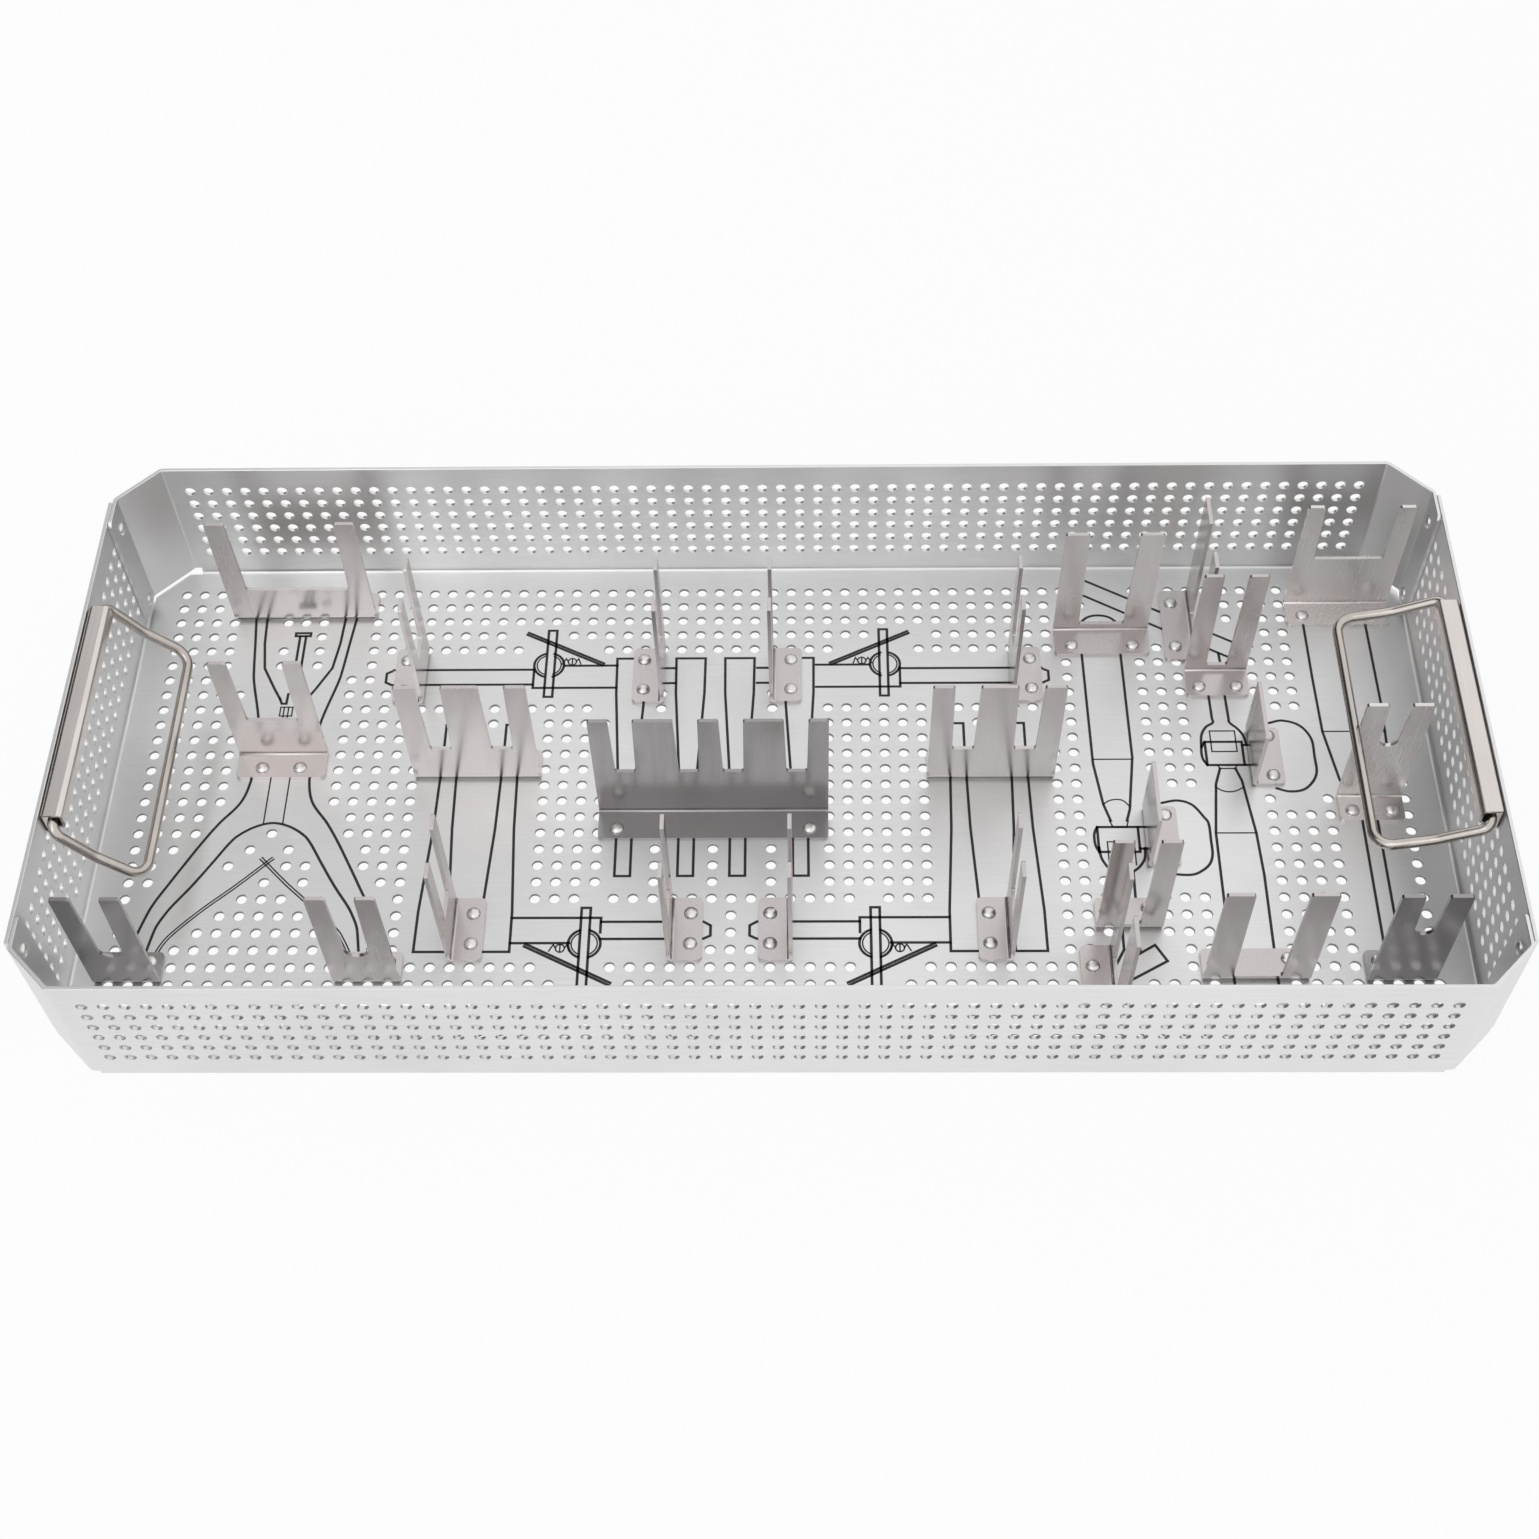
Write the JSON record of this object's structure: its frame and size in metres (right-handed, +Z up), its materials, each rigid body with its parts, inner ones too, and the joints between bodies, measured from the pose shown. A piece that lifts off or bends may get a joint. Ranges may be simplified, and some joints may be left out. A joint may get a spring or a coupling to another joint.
{
  "type": "instrument tray",
  "caption": "Long shallow perforated tray with cut corners, slotted upright brackets riveted to its floor and a folding wire bail at each end.",
  "frame": {"origin": "middle of the underside of the tray's floor", "axes": "+X along the tray to the right end, +Y across it to the back wall, +Z up out of the tray"},
  "size_m": [0.535, 0.2422, 0.0655],
  "materials": {
    "satin_aluminium": "satin anodised",
    "bracket_steel": "fine brushed, half bright",
    "folded_steel": "fine brushed",
    "steel_wire": "polished wire",
    "bright_rivet": "bright"
  },
  "bodies": {
    "tray": {"tray_body": "satin_aluminium", "fork_wide_back": "bracket_steel", "fork_wide_middle": "bracket_steel", "fork_jaw_left": "bracket_steel", "fork_jaw_right": "bracket_steel", "side_fork_back_1": "bracket_steel", "side_fork_back_2": "bracket_steel", "side_fork_back_3": "bracket_steel", "side_fork_back_4": "bracket_steel", "side_fork_front_1": "bracket_steel", "side_fork_front_2": "bracket_steel", "side_fork_front_3": "bracket_steel", "side_fork_front_4": "bracket_steel", "comb_left": "bracket_steel", "comb_right": "bracket_steel", "rack_middle": "bracket_steel", "fork_near_back": "bracket_steel", "fork_near_front": "bracket_steel", "side_fork_heavy_back": "bracket_steel", "side_fork_heavy_front": "bracket_steel", "stop_tab_back": "bracket_steel", "stop_tab_front": "bracket_steel", "fork_middle_back": "bracket_steel", "fork_middle_front": "bracket_steel", "fork_far_back": "bracket_steel", "fork_far_middle": "bracket_steel", "fork_far_front": "bracket_steel", "left_retainer": "folded_steel", "right_retainer": "folded_steel", "bracket_rivets": "bright_rivet", "corner_rivets": "bright_rivet"},
    "left_bail": {"left_bail": "steel_wire"},
    "right_bail": {"right_bail": "steel_wire"}
  },
  "joints": [
    {"name": "left_bail_hinge", "type": "hinge", "parent": "tray", "child": "left_bail", "pos_m": [-0.26175, 0, 0.061], "axis": [0, -1, 0], "range_deg": [0, 162]},
    {"name": "right_bail_hinge", "type": "hinge", "parent": "tray", "child": "right_bail", "pos_m": [0.26175, 0, 0.061], "axis": [0, 1, 0], "range_deg": [0, 129]}
  ]
}
